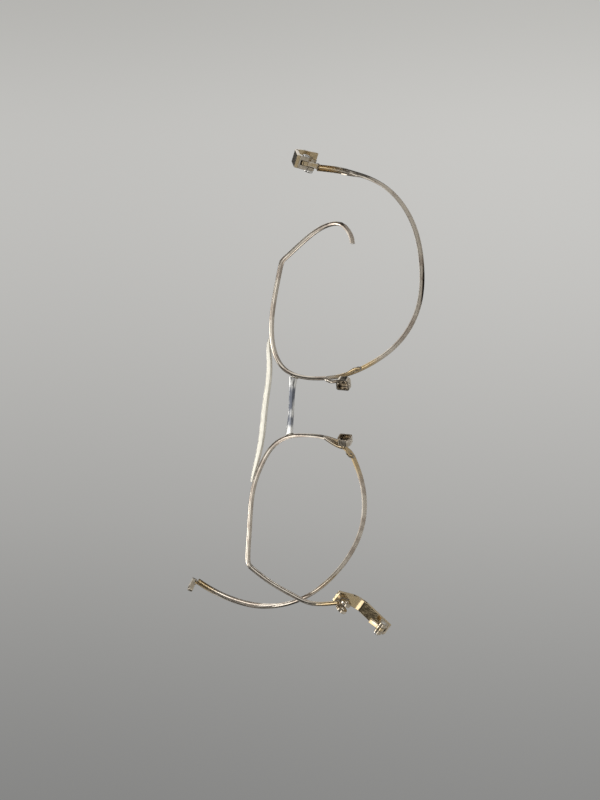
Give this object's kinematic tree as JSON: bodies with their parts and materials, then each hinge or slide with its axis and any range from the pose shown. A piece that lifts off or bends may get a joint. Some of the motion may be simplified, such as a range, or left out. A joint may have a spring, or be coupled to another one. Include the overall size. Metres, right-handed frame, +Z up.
{
  "type": "spectacle frame front",
  "caption": "Thin metal spectacle front with a double bridge, grooved eyewires sprung open at the rim locks, pad arms, endpieces and temple hinges; lenses, pads and temples missing.",
  "frame": {"origin": "middle of the bridge, on the front's mid surface", "axes": "+Z up, +X to the wearer's left, front faces -Y, the temples would run towards +Y"},
  "size_m": [0.1301, 0.0246, 0.0631],
  "materials": {
    "gilt_wire": "worn gold plating over nickel silver, tarnished in the groove",
    "gilt_strip": "polished gold plating with brown tarnish",
    "tarnished_fitting": "olive-brown tarnished gold plating",
    "bright_bridge": "polished, mirror bright",
    "cream_bar": "pale satin plating",
    "steel_screw": "bright turned steel"
  },
  "bodies": {
    "front": {"rim_right": "gilt_wire", "rim_left": "gilt_wire", "bridge": "bright_bridge", "brow_bar": "cream_bar", "pad_arm_right": "gilt_wire", "pad_arm_left": "gilt_wire", "pad_box_right": "tarnished_fitting", "pad_box_left": "tarnished_fitting", "lock_block_upper_right": "tarnished_fitting", "lock_block_upper_left": "tarnished_fitting", "lock_block_lower_right": "tarnished_fitting", "lock_block_lower_left": "tarnished_fitting", "closing_screw_right": "steel_screw", "endpiece_right": "gilt_strip", "endpiece_left": "gilt_strip", "hinge_front_right": "tarnished_fitting", "hinge_front_left": "tarnished_fitting", "hinge_screw_right": "steel_screw", "hinge_screw_left": "steel_screw"},
    "temple_leaf_right": {"hinge_leaf_right": "gilt_strip"},
    "temple_leaf_left": {"hinge_leaf_left": "gilt_strip"}
  },
  "joints": [
    {"name": "temple_hinge_right", "type": "hinge", "parent": "front", "child": "temple_leaf_right", "pos_m": [-0.06475, 0.01985, -0.00467], "axis": [0.9324, -0.2005, 0.3008], "range_deg": [-65, 100]},
    {"name": "temple_hinge_left", "type": "hinge", "parent": "front", "child": "temple_leaf_left", "pos_m": [0.05769, 0.00251, -0.03182], "axis": [-0.8261, 0.1692, -0.5375], "range_deg": [-3, 162]}
  ]
}
